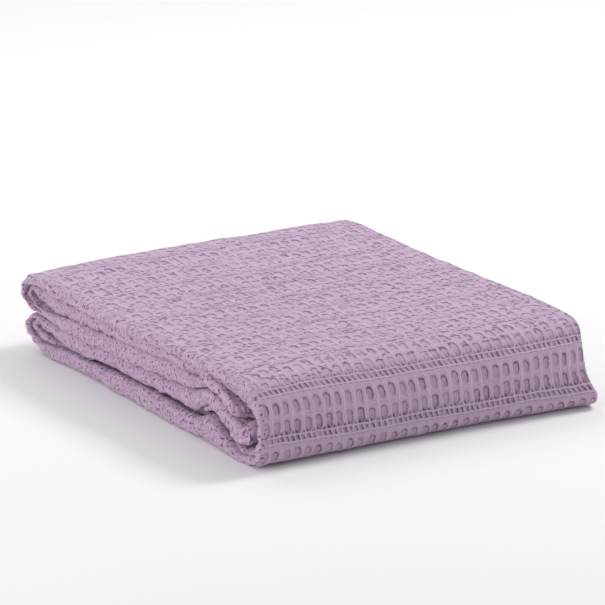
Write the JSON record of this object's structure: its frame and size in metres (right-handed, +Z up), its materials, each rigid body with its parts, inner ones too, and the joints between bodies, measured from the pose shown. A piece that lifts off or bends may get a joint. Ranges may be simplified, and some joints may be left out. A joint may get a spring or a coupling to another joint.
{
  "type": "folded waffle weave cotton blanket",
  "caption": "Lilac waffle weave cotton blanket folded into a flat rectangular pile, with its folded edges showing on the left side.",
  "frame": {"origin": "middle of the underside of the folded pile", "axes": "+Z up, +Y from the long rounded front to the back, where the two halves end in folds, +X to the right; the folded edges of the plies are on -X"},
  "size_m": [0.4104, 0.496, 0.0921],
  "materials": {
    "lilac_cotton": "soft lilac cotton in a waffle weave with openwork bands, matt"
  },
  "bodies": {
    "root": {"blanket": "lilac_cotton"}
  },
  "joints": []
}
